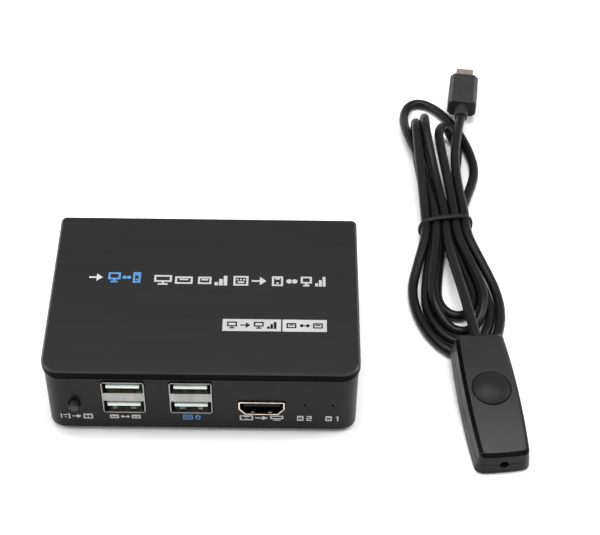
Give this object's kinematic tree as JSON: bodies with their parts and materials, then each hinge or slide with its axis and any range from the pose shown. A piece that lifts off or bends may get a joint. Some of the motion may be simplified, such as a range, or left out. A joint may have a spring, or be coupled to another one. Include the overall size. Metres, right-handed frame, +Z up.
{
  "type": "kvm switch",
  "caption": "Flat desktop switch box with stacked data sockets, video sockets, a push button and lamp pinholes, with a wired push-button remote on a folded, tied cord that ends in a small plug.",
  "frame": {"origin": "centre of the switch box's footprint, on the surface that it stands on", "axes": "+X to the right as seen from the front sockets, +Y to the rear sockets, +Z up"},
  "size_m": [0.1598, 0.2033, 0.0307],
  "materials": {
    "lid_plastic": "satin black with a fine straight grain and a bright bevel",
    "base_plastic": "satin black",
    "board_green": "solder-masked circuit board",
    "socket_steel": "nickel-plated sheet, bright cut edges",
    "socket_white": "pale greenish-white moulding",
    "socket_black": "black moulding",
    "hdmi_metal": "warm nickel-plated sheet",
    "contact_gold": "gold flash",
    "button_plastic": "dark grey moulding",
    "led_clear": "clear epoxy",
    "tinned_wire": "tinned wire",
    "chip_black": "epoxy package",
    "can_aluminium": "drawn can",
    "ceramic": "fired ceramic",
    "foot_rubber": "moulded rubber",
    "screw_steel": "zinc-plated steel",
    "remote_plastic": "satin black",
    "remote_button": "satin black dome",
    "core_insulation": "thin insulation",
    "cord_rubber": "soft-sheen black jacket",
    "tie_rubber": "black band",
    "plug_plastic": "satin black overmoulding",
    "plug_metal": "nickel-plated sheet with a warm cast",
    "print_white": "white ink",
    "print_blue": "blue ink",
    "print_silver": "silver-grey ink"
  },
  "bodies": {
    "switch_box": {"top_cover": "lid_plastic", "base_shell": "base_plastic", "main_board": "board_green", "usb_stack_left_shell": "socket_steel", "usb_stack_right_shell": "socket_steel", "usb_b_1_shell": "socket_steel", "usb_b_2_shell": "socket_steel", "micro_jack_shell": "socket_steel", "select_switch_bracket": "socket_steel", "usb_stack_left_insulator": "socket_white", "usb_stack_right_insulator": "socket_white", "usb_b_1_insulator": "socket_white", "usb_b_2_insulator": "socket_white", "hdmi_out_insulator": "socket_black", "hdmi_in_1_insulator": "socket_black", "hdmi_in_2_insulator": "socket_black", "micro_jack_tongue": "socket_black", "select_switch_body": "socket_black", "hdmi_out_shell": "hdmi_metal", "hdmi_in_1_shell": "hdmi_metal", "hdmi_in_2_shell": "hdmi_metal", "usb_stack_left_contacts": "contact_gold", "usb_stack_right_contacts": "contact_gold", "hdmi_out_contacts": "contact_gold", "hdmi_in_1_contacts": "contact_gold", "hdmi_in_2_contacts": "contact_gold", "usb_b_contacts": "contact_gold", "pc1_led": "led_clear", "pc2_led": "led_clear", "led_leads": "tinned_wire", "hdmi_switch_chip": "chip_black", "usb_hub_chip": "chip_black", "control_chip": "chip_black", "voltage_regulator": "chip_black", "electrolytic_capacitors": "can_aluminium", "crystals": "can_aluminium", "ceramic_capacitors": "ceramic", "rubber_feet": "foot_rubber", "case_screws": "screw_steel", "board_screws": "screw_steel"},
    "front_button": {"select_button": "button_plastic"},
    "controller": {"controller_top_shell": "remote_plastic", "controller_bottom_shell": "remote_plastic", "controller_board": "board_green", "controller_switch_body": "socket_black", "controller_screws": "screw_steel", "controller_wires": "core_insulation", "cord_inner_end": "cord_rubber", "cord_anchor": "screw_steel", "cord_controller_lead": "cord_rubber", "cord_hank": "cord_rubber", "cord_plug_lead": "cord_rubber", "cord_tie": "tie_rubber", "plug_collar": "plug_plastic", "plug_overmould": "plug_plastic", "plug_shell": "plug_metal", "plug_contact_block": "socket_black"},
    "controller_button": {"controller_button": "remote_button", "controller_switch_plunger": "button_plastic"}
  },
  "joints": [
    {"name": "front_button_press", "type": "slide", "parent": "switch_box", "child": "front_button", "axis": [0, 1, 0], "range_m": [0, 0.0003], "stiffness_N_per_m": 1500},
    {"name": "controller_lift", "type": "slide", "parent": "switch_box", "child": "controller", "axis": [0, 0, 1], "range_m": [0, 0.04]},
    {"name": "controller_button_press", "type": "slide", "parent": "controller", "child": "controller_button", "axis": [-0.01, 0.0866, -0.9962], "range_m": [0, 0.0005], "stiffness_N_per_m": 1500}
  ]
}
